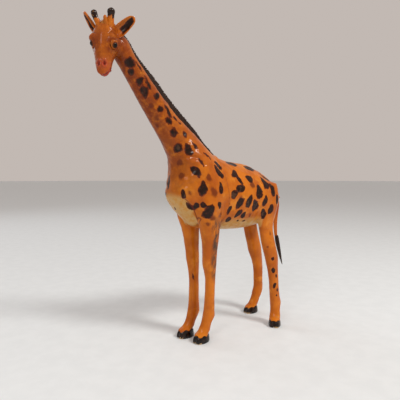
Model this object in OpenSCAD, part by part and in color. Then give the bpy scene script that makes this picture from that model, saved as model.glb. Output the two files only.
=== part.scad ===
// Leather-wrapped giraffe figurine.
// Bent steel rods carry a core of wound paper, and shaped hide panels cover the core.
// Millimetres, +Z up, the face towards -Y, the giraffe's own left side towards +X.
// The origin is on the standing plane, at the middle of the bounding box.

/* [Hide] */
// Thickness of the leather panels
hide_t = 1.2; // [0.8:0.1:1.5]
// Height that the shoulder hide stands proud of the torso hide
lap_h = 0.4; // [0:0.1:0.6]

/* [Armature] */
// Diameter of the spine wire
spine_d = 2.4; // [1.6:0.1:2.6]
// Diameter of the leg wires
leg_wire_d = 2.0; // [1.4:0.1:2.2]
// Radial room between a wire and the core around it
wire_room = 0.15; // [0.1:0.05:0.3]

/* [Head] */
// Turn of the head towards the giraffe's left
head_yaw = 48; // [40:1:56]
// Slope of the face below level
head_pitch = 68; // [60:1:74]
// Tilt of the head towards its right
head_tilt = 0; // [-8:1:8]
// Length of a horn above the skull
horn_l = 13; // [8:0.5:15]
// Diameter of a horn
horn_d = 4.6; // [3.6:0.1:5]
// Diameter of the knob at a horn's tip
horn_tip_d = 6.0; // [5:0.1:7]
// Length of an ear
ear_l = 18; // [14:0.5:22]
// Diameter of a glass eye
eye_d = 6.6; // [5:0.1:7]

/* [Mane] */
// Height of the mane strip at the middle of the neck
mane_h = 6.5; // [3:0.5:8]
// Thickness of the mane strip
mane_t = 2.2; // [1.6:0.1:3]

/* [Feet] */
// Height of a hoof
hoof_h = 9; // [7:0.5:10]
// Length of a hoof from toe to heel
hoof_l = 18; // [15:0.5:20]
// Width of a hoof
hoof_w = 14; // [11:0.5:15]

/* [Tail] */
// Width of the tail thong
thong_w = 3.2; // [2.4:0.1:4]
// Thickness of the tail thong
thong_t = 1.6; // [1.2:0.1:2]
// Diameter of the tail pin
pin_d = 1.2; // [1:0.05:1.5]
// Radial room between the tail pin and the thong's loop
pin_room = 0.06; // [0.02:0.01:0.1]
// Room between the loop and each cheek of the dock
cheek_room = 0.35; // [0.3:0.05:0.5]

/* [Hidden] */

orange = [0.86, 0.45, 0.08];
brown = [0.66, 0.33, 0.08];
cream = [0.87, 0.68, 0.36];
dark = [0.12, 0.08, 0.06];
paper = [0.72, 0.62, 0.46];
steel = [0.55, 0.56, 0.58];

// Level distance from the middle of the four hooves to the middle of the bounding box
origin_f = 35.5;
// Sides of the rings of the trunk, of a leg, of the head and of small round forms
trunk_n = 24;
leg_n = 12;
head_n = 20;
small_n = 10;
// Rings between two stations of the trunk and of a leg
trunk_steps = 2;
leg_steps = 2;

// Stations of the trunk from the rump to the top of the neck:
// level place, height, half width, reach towards the back line, reach towards the belly line,
// and lean of the ring away from upright
TRUNK = [
    [-72, 136, 3, 3, 3, 0],
    [-68.5, 136, 9.5, 11, 12, 0],
    [-60, 137, 18.5, 19, 21, -4],
    [-44, 139, 25, 27.5, 26, -2],
    [-22, 142, 26, 32, 32.5, 0],
    [4, 145.5, 26, 33.5, 36, 2],
    [22, 148, 25.5, 34.5, 37.5, 9],
    [40, 152, 25, 36, 38, 22],
    [54, 173, 23, 26, 34, 36],
    [65, 194.5, 15.5, 18, 18, 44],
    [77, 209.5, 12, 14.4, 13.4, 48],
    [89, 223.8, 10.4, 12, 11.8, 50],
    [104, 243.5, 9.2, 10, 10.2, 50],
    [119, 263.5, 8.4, 8, 8.8, 51],
    [129, 275.5, 8, 7.5, 7.5, 52],
    [133, 280.5, 7.4, 6.6, 6.6, 53]
];
// Stations at which the shoulder hide and the neck hide begin
SHOULDER_AT = 6;
NECK_AT = 9;
// Half the angle that the pale panels take up around the underside
belly_half = 45;
chest_half = 60;

// Stations of each leg from its root inside the trunk down to the pastern:
// height, sideways place, level place, half width, half depth
FRONT_LEFT = [
    [156, 18, 41, 7, 14],
    [135, 18, 42, 9.5, 14],
    [119, 16.5, 41.5, 9, 12],
    [101, 14.8, 39, 7.2, 9.2],
    [84, 13.4, 38.2, 5.8, 8],
    [76, 12.9, 37.8, 5.6, 7.4],
    [62, 12.2, 36.4, 4.6, 5.6],
    [40, 11.4, 36.8, 4.6, 5.6],
    [25, 10.8, 37.6, 4.9, 6.6],
    [17, 10.4, 40.8, 4.4, 5.4],
    [9, 10.2, 44.4, 5.6, 7.4]
];
FRONT_RIGHT = [
    [156, -18, 41, 7, 14],
    [135, -18, 42, 9.5, 14],
    [119, -16.5, 42, 9, 11.5],
    [101, -14.8, 40.4, 7, 8.8],
    [80, -13.2, 39.6, 5.8, 7.2],
    [72, -12.7, 39.2, 5.2, 6.6],
    [58, -12, 39, 4.6, 5.6],
    [36, -11.4, 39.6, 4.8, 6],
    [24, -11, 40.6, 4.9, 6.8],
    [16, -10.7, 44.6, 4.4, 5.6],
    [9, -10.4, 49, 5.6, 7.4]
];
HIND_LEFT = [
    [158, 14, -42, 9, 12],
    [140, 16, -42, 10, 14.5],
    [122, 18.2, -40.5, 9.4, 15.5],
    [104, 19, -39.6, 7.8, 12.8],
    [86, 19.6, -41.4, 6.6, 9.4],
    [72, 20, -44.4, 5.8, 7.8],
    [60, 20.4, -46.2, 5, 6.6],
    [44, 20.8, -47.6, 4.8, 6],
    [26, 21.2, -49.2, 5, 6.4],
    [17, 22, -48, 4.6, 5.4],
    [9, 23.6, -46, 6, 6.8]
];
HIND_RIGHT = [
    [158, -14, -44, 9, 12],
    [140, -16, -45, 10, 15],
    [122, -18, -47, 9.4, 16.5],
    [104, -18.2, -50.6, 7.8, 13.4],
    [87, -18.6, -54.6, 6.6, 10],
    [70, -19.4, -60, 5.8, 8.2],
    [56, -20, -63.6, 5, 6.8],
    [40, -20.5, -64.6, 4.8, 6.2],
    [26, -21, -65, 5, 6.6],
    [17, -21.8, -61.2, 4.4, 5.4],
    [9, -22.6, -56.6, 5.6, 7]
];
// Width of the notch in a hoof's toe
toe_notch = 2.4;
// Middle of each hoof and its turn outwards: sideways place, level place, angle
HOOF_FL = [10.2, 46.8, 6];
HOOF_FR = [-10.4, 51.8, -4];
HOOF_HL = [24.6, -44.6, 38];
HOOF_HR = [-22.8, -54.2, -6];

// Stations of the head in its own frame, from the nape to the lips:
// distance down the face, drop of the centre, half width, reach up, reach down
HEAD = [
    [-9, 1.5, 3, 3, 3],
    [-7, 1.5, 8, 8, 7.5],
    [-1, 1, 10.6, 10.2, 10],
    [7, 0, 11.2, 10.6, 11],
    [13, -0.5, 10.8, 9.6, 10],
    [19, -1, 9.6, 8.2, 8.6],
    [25, -2, 7.6, 6.6, 7],
    [30, -3, 6.8, 5.8, 6.2],
    [34, -3.4, 6, 5, 5.6],
    [37, -3.8, 4.4, 3.6, 4.2],
    [38.6, -4, 2, 1.6, 2]
];
// Point about which the head is turned: sideways place, level place, height
HEAD_AT = [-0.6, 139, 284.4];
// Places on the head, in its own frame: along the face, sideways, up from the face
HORN_AT = [-2, 3.3, 7.5];
EYE_AT = [14, 8.5, 3.8];
KNOB_AT = [2.5, 0, 9.6];
// Room round a peg or an eye in its socket, and depth of a horn's peg
socket_room = 0.1;
peg_l = 3;
// Thickness of an eyelid, the edge of the eye that it covers, and the turn of its opening to the side
lid_t = 1.2;
lid_cover = 0.6;
lid_turn = 72;
// Tilt of a horn to its side, and back from square to the face
horn_splay = 24;
horn_back = 54;
// Shares of an ear's length that have a ring
EAR_SHARES = [0, 0.15, 0.35, 0.6, 0.8, 0.93, 1];
// Length of an ear's root inside the head, rim round its hollow, and offset of the hollow to its front
ear_root = 2;
ear_rim = 0.9;
ear_hollow = 1.3;
// Diameter of the brow knob
knob_d = 5.2;
// Root of each ear on the head, its lean to its side, and the turn of its hollow outwards
LEFT_EAR = [[1, 9.5, 1], 50, 10];
RIGHT_EAR = [[0, 8, 2], 30, 66];

// Corners of the wires: sideways place, level place, height
SPINE = [[0, -62, 146], [0, 30, 152], [0, 62, 182], [0, 119, 263], [0, 133, 281]];
FRONT_ROD = [
    [10.3, 46.5, 4], [11.2, 38.8, 26], [12.9, 38.4, 78], [17, 43, 120], [14, 40, 148.6],
    [-14, 40, 148.6], [-17, 42.5, 120], [-12.9, 40.6, 76], [-11.2, 41.2, 30], [-10.4, 51, 4]
];
HIND_ROD = [
    [23.6, -44, 4], [21, -46, 26], [19.6, -41, 80], [18, -42, 125], [14, -44, 143],
    [-14, -47, 143], [-18, -49.5, 122], [-19, -57, 80], [-20.6, -64, 44], [-21.2, -63.2, 22],
    [-22.8, -55.6, 4]
];

// Depth of the mane's root below the back line
mane_root = 4;

// Axis of the tail pin: level place and height
PIN_AT = [-75.2, 140];
loop_r = pin_d / 2 + pin_room + 1;
cheek_t = 1.2;
cheek_x = thong_w / 2 + cheek_room;
// Reach of the dock into the rump
dock_l = 9;
// Middle line of the thong below the pin: level place and height
THONG = [[-76.1, 138.6], [-76.9, 134], [-76.6, 122], [-75.8, 108], [-76.6, 94]];
// Stations of the tuft: level place, height, half width, half thickness
TUFT = [
    [-76.6, 94, 2, 1.5], [-77.4, 88, 2.8, 2.2], [-79.4, 78, 3.2, 2.4],
    [-82, 67, 2.6, 2], [-84.4, 57.5, 0.8, 0.8]
];

// --- points and curves ---

// A point from its sideways place, level place and height
function at(x, f, z) = [x, origin_f - f, z];

// Smooth curve through four values, from the second to the third
function curve(a, b, c, d, t) =
    0.5 * (2 * b + (c - a) * t + (2 * a - 5 * b + 4 * c - d) * t * t + (3 * b - a - 3 * c + d) * t * t * t);

// Stations with more of them worked out between each two
function refined(keys, steps) = let (last = len(keys) - 1) [
    for (i = [0:last - 1], s = [0:steps - 1])
        curve(keys[max(i - 1, 0)], keys[i], keys[i + 1], keys[min(i + 2, last)], s / steps),
    keys[last]
];

// One point of a trunk ring: angle a runs from the back line towards the giraffe's left
function trunk_point(s, a, grow) =
    let (r = (cos(a) > 0 ? s[3] : s[4]) + grow)
    at(sin(a) * (s[2] + grow), s[0] - sin(s[5]) * cos(a) * r, s[1] + cos(s[5]) * cos(a) * r);

function trunk_ring(s, grow) = [for (j = [0:trunk_n - 1]) trunk_point(s, 360 * j / trunk_n, grow)];

function trunk_stations(first, last) =
    let (all = refined(TRUNK, trunk_steps))
    [for (i = [first * trunk_steps:last * trunk_steps]) all[i]];

function trunk_rings(first, last, grow) = [for (s = trunk_stations(first, last)) trunk_ring(s, grow)];

// The same rings over part of the way round, from angle a0 to angle a1
function trunk_bands(first, last, grow, a0, a1) =
    let (cells = round((a1 - a0) * trunk_n / 360))
    [for (s = trunk_stations(first, last))
        [for (j = [0:cells]) trunk_point(s, a0 + j * 360 / trunk_n, grow)]];

function leg_rings(stations, grow) = [
    for (s = refined(stations, leg_steps))
        [for (j = [0:leg_n - 1]) let (a = 360 * j / leg_n)
            at(s[1] + sin(a) * (s[3] + grow), s[2] + cos(a) * (s[4] + grow), s[0])]
];

function head_rings(grow) = [
    for (s = refined(HEAD, trunk_steps))
        [for (j = [0:head_n - 1])
            let (a = 360 * j / head_n, r = (cos(a) > 0 ? s[3] : s[4]) + grow)
            [s[0], sin(a) * (s[2] + grow), s[1] + cos(a) * r]]
];

// --- solids from rings ---

// Faces between two rows of n points, the first starting at p and the second at q
function strip(p, q, n, closed) = [
    for (j = [0:n - (closed ? 1 : 2)]) let (k = (j + 1) % n)
        each [[p + j, p + k, q + k], [p + j, q + k, q + j]]
];

// The same faces seen from their other side
function turned(faces) = [for (f = faces) [f[2], f[1], f[0]]];

// A solid through a row of rings, closed flat at both ends
module loft(rings) {
    n = len(rings[0]);
    m = len(rings);
    polyhedron(
        points = [for (r = rings) each r],
        faces = [
            for (i = [0:m - 2]) each strip(i * n, (i + 1) * n, n, true),
            [for (j = [n - 1:-1:0]) j],
            [for (j = [0:n - 1]) (m - 1) * n + j]
        ]
    );
}

// A tube between an outer and an inner row of rings
module sleeve(outer, inner) {
    n = len(outer[0]);
    m = len(outer);
    low = m * n;
    polyhedron(
        points = [for (r = outer) each r, for (r = inner) each r],
        faces = [
            for (i = [0:m - 2]) each strip(i * n, (i + 1) * n, n, true),
            for (i = [0:m - 2]) each turned(strip(low + i * n, low + (i + 1) * n, n, true)),
            each strip(low, 0, n, true),
            each strip((m - 1) * n, low + (m - 1) * n, n, true)
        ]
    );
}

// A shell between an outer and an inner row of open bands
module panel(outer, inner) {
    n = len(outer[0]);
    m = len(outer);
    low = m * n;
    polyhedron(
        points = [for (r = outer) each r, for (r = inner) each r],
        faces = [
            for (i = [0:m - 2]) each strip(i * n, (i + 1) * n, n, false),
            for (i = [0:m - 2]) each turned(strip(low + i * n, low + (i + 1) * n, n, false)),
            each strip(low, 0, n, false),
            each strip((m - 1) * n, low + (m - 1) * n, n, false),
            for (i = [0:m - 2]) each edge_faces(i * n, (i + 1) * n, low + i * n, low + (i + 1) * n),
            for (i = [1:m - 1]) each edge_faces((i + 1) * n - 1, i * n - 1, low + (i + 1) * n - 1, low + i * n - 1)
        ]
    );
}

function edge_faces(a, b, c, d) = [[a, b, d], [a, d, c]];

// The first child with the others cut away, as one mesh
module cut() {
    resize([0, 0, 0]) difference() {
        children(0);
        children([1:$children - 1]);
    }
}

// A round bent rod through the given corners, with a mitred ring at each one
module rod(corners, r) {
    path = [for (c = corners) at(c[0], c[1], c[2])];
    last = len(path) - 1;
    ways = [for (i = [0:last - 1]) unit(path[i + 1] - path[i])];
    loft([for (i = [0:last])
        let (way = unit(ways[max(i - 1, 0)] + ways[min(i, last - 1)]),
            side = unit(cross(way, [0, 1, 0.3])),
            rise = cross(way, side))
        [for (j = [0:small_n - 1]) let (a = 360 * j / small_n)
            path[i] + r * (cos(a) * side - sin(a) * rise)]]);
}

function unit(v) = v / norm(v);

module spine_bore() { rod(SPINE, spine_d / 2 + wire_room); }
module front_bore() { rod(FRONT_ROD, leg_wire_d / 2 + wire_room); }
module hind_bore() { rod(HIND_ROD, leg_wire_d / 2 + wire_room); }

// --- trunk ---

last_station = len(TRUNK) - 1;

module trunk_outside() { loft(trunk_rings(0, last_station, 0)); }
module trunk_inside() { loft(trunk_rings(0, last_station, -hide_t)); }

module trunk_panel(first, last, a0, a1, proud) {
    panel(trunk_bands(first, last, proud, a0, a1), trunk_bands(first, last, -hide_t, a0, a1));
}

module all_legs() {
    for (leg = [FRONT_LEFT, FRONT_RIGHT, HIND_LEFT, HIND_RIGHT]) loft(leg_rings(leg, 0));
}

module torso_core() {
    color(paper) cut() {
        loft(trunk_rings(0, SHOULDER_AT + 1, -hide_t));
        spine_bore();
        front_bore();
        hind_bore();
    }
}

module neck_core() {
    color(paper) cut() {
        loft(trunk_rings(SHOULDER_AT + 1, last_station, -hide_t));
        spine_bore();
        front_bore();
    }
}

module torso_hide() {
    color(orange) cut() {
        trunk_panel(0, SHOULDER_AT, belly_half - 180, 180 - belly_half, 0);
        all_legs();
    }
}

module belly_panel() {
    color(cream) cut() {
        trunk_panel(0, SHOULDER_AT, 180 - belly_half, 180 + belly_half, 0);
        all_legs();
    }
}

module shoulder_hide() {
    color(orange) cut() {
        trunk_panel(SHOULDER_AT, NECK_AT, chest_half - 180, 180 - chest_half, lap_h);
        all_legs();
    }
}

module chest_panel() {
    color(cream) cut() {
        trunk_panel(SHOULDER_AT, NECK_AT, 180 - chest_half, 180 + chest_half, 0);
        all_legs();
    }
}

module neck_hide() {
    color(brown)
        sleeve(trunk_rings(NECK_AT, last_station, 0), trunk_rings(NECK_AT, last_station, -hide_t));
}

// --- legs ---

module leg_core(stations) {
    color(paper) cut() {
        loft(leg_rings(stations, -hide_t));
        trunk_inside();
        front_bore();
        hind_bore();
    }
}

module leg_hide(stations) {
    color(orange) cut() {
        sleeve(leg_rings(stations, 0), leg_rings(stations, -hide_t));
        trunk_inside();
    }
}

// A hoof with its flat sole on the standing plane, and a notch at the toe
module hoof(place) {
    profile = [[0, 0.94], [1.2, 1], [hoof_h * 0.6, 0.94], [hoof_h, 0.78]];
    color(dark) cut() {
        at_hoof(place)
            loft([for (s = profile)
                [for (j = [0:leg_n - 1]) let (a = 360 * j / leg_n)
                    [sin(a) * hoof_w / 2 * s[1], cos(a) * hoof_l / 2 * s[1], s[0]]]]);
        at_hoof(place)
            translate([0, -hoof_l / 2, 0]) rotate([0, 0, 45])
                cube([toe_notch, toe_notch, 3 * hoof_h], center = true);
        front_bore();
        hind_bore();
    }
}

module at_hoof(place) { translate(at(place[0], place[1], 0)) rotate([0, 0, place[2]]) children(); }

// --- head ---

// Turns the head's own frame (x down the face, y to the left, z up from the face) into place
module on_head() {
    translate(at(HEAD_AT[0], HEAD_AT[1], HEAD_AT[2]))
        rotate([head_tilt, 0, head_yaw - 90])
            rotate([0, head_pitch, 0])
                children();
}

module head_outside() { on_head() loft(head_rings(0)); }
module head_inside() { on_head() loft(head_rings(-hide_t)); }

// Puts the children at a place on the left, or mirrored on the right
module sided(side, place) {
    on_head() mirror([0, side < 0 ? 1 : 0, 0]) translate(place) children();
}

module horn_axis() { rotate([-horn_splay, -horn_back, 0]) children(); }

module horn_peg(room, sides) {
    horn_axis() translate([0, 0, -peg_l])
        cylinder(h = peg_l + horn_l - horn_tip_d / 2, r = horn_d / 2 + room, $fn = sides);
}

module horn(side) {
    color(brown) sided(side, HORN_AT) {
        horn_peg(0, 24);
        horn_axis() translate([0, 0, horn_l - horn_tip_d / 2]) sphere(r = horn_tip_d / 2, $fn = 24);
    }
}

module horn_bores() {
    for (side = [-1, 1]) sided(side, HORN_AT) horn_peg(socket_room, 16);
}

module eye_ball(side, room, sides) {
    sided(side, EYE_AT) sphere(r = eye_d / 2 + room, $fn = sides);
}

module eye(side) { color("black") eye_ball(side, 0, 24); }

module eye_bores() {
    for (side = [-1, 1]) eye_ball(side, socket_room, 16);
}

module eyelid(side) {
    color(brown) cut() {
        eye_ball(side, lid_t, 16);
        eye_ball(side, socket_room, 16);
        head_outside();
        sided(side, EYE_AT)
            rotate([-lid_turn, 0, 0]) cylinder(h = 2 * eye_d, r = eye_d / 2 - lid_cover, $fn = 16);
    }
}

// A leaf of leather, hollow on its front face
module ear(side, pose) {
    color(orange) cut() {
        at_ear(side, pose) ear_leaf(0, 0);
        at_ear(side, pose) ear_leaf(ear_rim, ear_hollow);
        head_outside();
    }
}

module at_ear(side, pose) {
    sided(side, pose[0])
        rotate([0, -head_pitch, 0]) rotate([-pose[1], 0, 0]) rotate([0, 0, pose[2]])
            translate([0, 0, -ear_root])
                children();
}

module ear_leaf(inset, lift) {
    length = ear_l + ear_root - 2 * inset;
    loft([for (t = EAR_SHARES)
        let (half_w = ear_half_w(t) - inset, half_d = ear_half_d(t) - inset * 0.5)
        [for (j = [0:small_n - 1]) let (a = 360 * j / small_n)
            [cos(a) * half_d + lift, -sin(a) * half_w, inset + t * length]]]);
}

function ear_half_w(t) = 2 + 4.2 * sin(168 * pow(t, 1.4));
function ear_half_d(t) = 1.3 + 0.9 * sin(160 * t + 15);

module brow_knob() {
    color(brown) cut() {
        on_head() translate(KNOB_AT) sphere(r = knob_d / 2, $fn = 16);
        head_outside();
    }
}

module head_core() {
    color(paper) cut() {
        head_inside();
        trunk_outside();
        spine_bore();
        horn_bores();
        eye_bores();
    }
}

module head_hide() {
    color(brown) cut() {
        on_head() sleeve(head_rings(0), head_rings(-hide_t));
        trunk_outside();
        spine_bore();
        horn_bores();
        eye_bores();
    }
}

// --- mane ---

// Height of the mane at a share t of its length
function mane_rise(t) = mane_h * (0.25 + 0.75 * sin(180 * (0.04 + 0.8 * t)));

module mane() {
    stations = trunk_stations(SHOULDER_AT + 1, last_station);
    n = len(stations) - 1;
    color(dark) cut() {
        loft([for (i = [0:n])
            let (s = stations[i], root = s[3] - mane_root, tip = s[3] + mane_rise(1 - i / n))
            [for (c = [[-1, tip], [1, tip], [1, root], [-1, root]])
                at(c[0] * mane_t / 2, s[0] - sin(s[5]) * c[1], s[1] + cos(s[5]) * c[1])]]);
        trunk_outside();
        trunk_panel(SHOULDER_AT, NECK_AT, chest_half - 180, 180 - chest_half, lap_h);
        head_outside();
    }
}

// --- tail ---

// Turns a shape drawn in the side view (level place, height) into a slab from x0 to x1
module slab(x0, x1) {
    translate([x0, origin_f, 0])
        rotate([90, 0, 90]) linear_extrude(height = x1 - x0) mirror([1, 0]) children();
}

module at_pin(x0, x1, r, sides) {
    translate(at(x0, PIN_AT[0], PIN_AT[1])) rotate([0, 90, 0]) cylinder(h = x1 - x0, r = r, $fn = sides);
}

// Two cheeks round the loop, joined by a web against the rump
module tail_dock() {
    outer = cheek_x + cheek_t;
    color(orange) cut() {
        slab(-outer, outer) {
            translate(PIN_AT) circle(r = loop_r, $fn = small_n * 2);
            translate([PIN_AT[0], PIN_AT[1] - loop_r * 0.9]) square([dock_l, 1.8 * loop_r]);
        }
        slab(-cheek_x, cheek_x)
            translate([PIN_AT[0] - 2 * loop_r, PIN_AT[1] - 2 * loop_r]) square([3.4 * loop_r, 4 * loop_r]);
        at_pin(-outer - 1, outer + 1, pin_d / 2 + 0.05, small_n * 2);
        trunk_outside();
    }
}

module tail_pin() { color(steel) at_pin(-cheek_x - cheek_t, cheek_x + cheek_t, pin_d / 2, 24); }

// A flat thong, looped round the pin at its top
module tail_thong() {
    line = refined(THONG, 2);
    n = len(line) - 1;
    color(orange) difference() {
        union() {
            at_pin(-thong_w / 2, thong_w / 2, loop_r, 24);
            slab(-thong_w / 2, thong_w / 2)
                polygon([
                    for (i = [0:n]) [line[i][0] - thong_t / 2, line[i][1]],
                    for (i = [n:-1:0]) [line[i][0] + thong_t / 2, line[i][1]]
                ]);
        }
        at_pin(-thong_w, thong_w, pin_d / 2 + pin_room, 24);
    }
}

module tail_tuft() {
    color(dark) loft([for (s = refined(TUFT, 2))
        [for (j = [0:small_n - 1]) let (a = 360 * j / small_n)
            at(sin(a) * s[2], s[0] + cos(a) * s[3], s[1])]]);
}

// --- wires ---

module wire(corners, d) { color(steel) rod(corners, d / 2); }

wire(SPINE, spine_d);  // spine_wire
wire(FRONT_ROD, leg_wire_d);  // front_leg_wire
wire(HIND_ROD, leg_wire_d);  // hind_leg_wire
torso_core();
neck_core();
head_core();
leg_core(FRONT_LEFT);  // front_left_leg_core
leg_core(FRONT_RIGHT);  // front_right_leg_core
leg_core(HIND_LEFT);  // hind_left_leg_core
leg_core(HIND_RIGHT);  // hind_right_leg_core
torso_hide();
belly_panel();
shoulder_hide();
chest_panel();
neck_hide();
head_hide();
leg_hide(FRONT_LEFT);  // front_left_leg_hide
leg_hide(FRONT_RIGHT);  // front_right_leg_hide
leg_hide(HIND_LEFT);  // hind_left_leg_hide
leg_hide(HIND_RIGHT);  // hind_right_leg_hide
hoof(HOOF_FL);  // front_left_hoof
hoof(HOOF_FR);  // front_right_hoof
hoof(HOOF_HL);  // hind_left_hoof
hoof(HOOF_HR);  // hind_right_hoof
ear(1, LEFT_EAR);  // left_ear
ear(-1, RIGHT_EAR);  // right_ear
horn(1);  // left_horn
horn(-1);  // right_horn
brow_knob();
eye(1);  // left_eye
eye(-1);  // right_eye
eyelid(1);  // left_eyelid
eyelid(-1);  // right_eyelid
mane();
tail_dock();
tail_pin();
tail_thong();
tail_tuft();
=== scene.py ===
"""Looks of a leather-wrapped giraffe figurine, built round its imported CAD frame.

The hide is one skin drawn round the CAD panels, smoothed, shaped and then cut along the seams, so that
each panel is its own piece. Lengths here are millimetres in the shared frame; meshes are made in metres.
"""

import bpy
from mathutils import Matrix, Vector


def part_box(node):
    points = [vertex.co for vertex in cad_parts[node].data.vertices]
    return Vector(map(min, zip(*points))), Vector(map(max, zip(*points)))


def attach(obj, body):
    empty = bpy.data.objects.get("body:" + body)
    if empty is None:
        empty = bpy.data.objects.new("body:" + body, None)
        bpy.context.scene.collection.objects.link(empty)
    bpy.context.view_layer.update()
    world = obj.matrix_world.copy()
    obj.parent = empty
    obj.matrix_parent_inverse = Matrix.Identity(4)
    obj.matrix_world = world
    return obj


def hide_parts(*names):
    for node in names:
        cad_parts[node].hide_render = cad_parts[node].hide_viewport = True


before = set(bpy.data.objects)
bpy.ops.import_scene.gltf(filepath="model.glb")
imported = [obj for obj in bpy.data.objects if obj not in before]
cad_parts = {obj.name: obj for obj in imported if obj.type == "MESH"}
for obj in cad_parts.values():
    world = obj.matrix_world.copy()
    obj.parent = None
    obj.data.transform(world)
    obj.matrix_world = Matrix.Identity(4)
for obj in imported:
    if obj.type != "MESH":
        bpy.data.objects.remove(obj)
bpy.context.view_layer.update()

import math
import random

import bmesh
import bpy
import numpy as np
from mathutils import Matrix, Vector, noise
from mathutils.bvhtree import BVHTree

MM = 0.001

# ---- driving values

SKIN_VOXEL = 0.8        # size of the cells that the skin is drawn with
RELAX_TURNS = 36        # smoothing that takes the CAD's facets out
CORE_VOXEL, CORE_TURNS, CORE_INSET = 1.6, 9, 2.0
HIDE_T = 1.1            # thickness of the leather
LAP = 0.55              # how far the shoulder hide's edge stands up
PIN_F = -75.2           # level place of the tail pin, ahead of the middle of the hooves

HEAD_YAW, HEAD_PITCH = 48, 68
EYE_AT = (14, 8.5, 3.8)     # middle of the CAD eyes: along the face, sideways, up from the face
EYES = {"left": (1, (14.4, 8.7, 3.5)), "right": (-1, (12, 7.8, 3.8))}   # side, then the same three
EYE_R = 3.2
GAZE = Vector((0.5, 0.75, 0.42)).normalized()
LID_OPEN = math.radians(47), math.radians(43)       # half of the lids' opening: across, and up
# Side, root, lean away from the middle, and half width
HORNS = {"left_horn": (1, (-2.4, 4.9, 7), 20, 3.1), "right_horn": (-1, (-2.2, 3.6, 7), 36, 2.6)}
HORN_BACK, HORN_L = 54, 13.5
# Side, root, lean, and turn of the hollow
EARS = {"left_ear": (1, (1, 9.5, 1), 50, 10), "right_ear": (-1, (0, 8, 2), 30, 66)}
EAR_L = 22
NUB_AT, NUB_L = (-1.5, 2.6, 8.4), 7.6
HOOF_TURN = {"front_left_hoof": 6, "front_right_hoof": -4, "hind_left_hoof": 38, "hind_right_hoof": -6}
HOOF_L, HOOF_W = 18, 14

# ---- places


def middle(node):
    """The middle of a CAD node's box."""
    lo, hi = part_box(node)
    return (lo + hi) / 2 / MM


PIN = middle("tail_pin")
MID_Y = PIN.y + PIN_F


def at(x, f, z):
    """The point at a sideways place, a level place ahead of the middle of the hooves, and a height."""
    return Vector((x, MID_Y - f, z))


def turned(axis, degrees):
    return Matrix.Rotation(math.radians(degrees), 4, axis)


HEAD_TURN = turned("Z", HEAD_YAW - 90) @ turned("Y", HEAD_PITCH)
EYE_MIDDLE = (middle("left_eye") + middle("right_eye")) / 2
HEAD = Matrix.Translation(EYE_MIDDLE - HEAD_TURN @ Vector((EYE_AT[0], 0, EYE_AT[2]))) @ HEAD_TURN


def sided(side, place):
    """The head's frame at a place on the left, or mirrored on the right."""
    return HEAD @ Matrix.Diagonal((1, side, 1, 1)) @ Matrix.Translation(place)


# ---- arrays


def smoothstep(a, b, x):
    t = np.clip((x - a) / (b - a), 0, 1)
    return t * t * (3 - 2 * t)


def bell(x):
    return np.exp(-x * x)


def mound(spots, place, reach, both=False):
    """1 at a place and fading round it, from three rows of coordinates; both adds its mirror image in the first."""
    a, b, c = (bell((row - here) / far) for row, here, far in zip(spots, place, reach))
    return (a + bell((spots[0] + place[0]) / reach[0]) if both else a) * b * c


def around(sides):
    """Angles of evenly spaced places round a ring."""
    return [2 * math.pi * j / sides for j in range(sides)]


def soft_line(x, points, blur=4.0):
    """A broken line through (x, y) points, rounded at its corners."""
    xs, ys = zip(*sorted(points))
    return sum(np.interp(x + k * blur, xs, ys) for k in (-1, -0.5, 0, 0.5, 1)) / 5


def path_gap(points, path):
    """Distance from N x D points to a broken line."""
    best = np.full(len(points), 1e9)
    for a, b in zip(path[:-1], path[1:]):
        a, b = np.array(a, float), np.array(b, float)
        t = np.clip((points - a) @ (b - a) / ((b - a) @ (b - a)), 0, 1)
        best = np.minimum(best, np.linalg.norm(points - a - t[:, None] * (b - a), axis=1))
    return best


def normals_of(points, tris):
    a, b, c = (points[tris[:, k]] for k in range(3))
    face = np.cross(b - a, c - a)
    out = np.zeros_like(points)
    for corner in tris.T:
        for axis in range(3):
            out[:, axis] += np.bincount(corner, face[:, axis], len(points))
    return out / np.maximum(np.linalg.norm(out, axis=1), 1e-12)[:, None]


def relaxed(values, edges, turns):
    """Values at points, each drawn halfway to the mean of its neighbours, again and again."""
    a, b = edges.T
    count = np.maximum(np.bincount(edges.ravel(), minlength=len(values))[:, None], 1)
    for _ in range(turns):
        total = np.stack([np.bincount(a, column[b], len(values)) + np.bincount(b, column[a], len(values))
                          for column in values.T], 1)
        values = values + 0.5 * (total / count - values)
    return values


def linked(name, data):
    """A new object in the scene."""
    obj = bpy.data.objects.new(name, data)
    bpy.context.scene.collection.objects.link(obj)
    return obj


def skin_round(nodes, voxel):
    """One closed skin round CAD nodes: points, edges and triangles."""
    joined = bmesh.new()
    for name in nodes:
        joined.from_mesh(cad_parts[name].data)
    mesh = bpy.data.meshes.new("skin_work")
    joined.to_mesh(mesh)
    joined.free()
    work = linked("skin_work", mesh)
    cells = work.modifiers.new("cells", "REMESH")
    cells.mode, cells.voxel_size = "VOXEL", voxel * MM
    made = bpy.data.meshes.new_from_object(work.evaluated_get(bpy.context.evaluated_depsgraph_get()))
    made.calc_loop_triangles()
    rows = []
    for items, key, width, kind in ((made.vertices, "co", 3, float), (made.edges, "vertices", 2, int),
                                    (made.loop_triangles, "vertices", 3, int)):
        numbers = np.zeros(len(items) * width, kind)
        items.foreach_get(key, numbers)
        rows.append(numbers.reshape(-1, width))
    bpy.data.objects.remove(work)
    return largest(rows[0] / MM, rows[1], rows[2])


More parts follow.
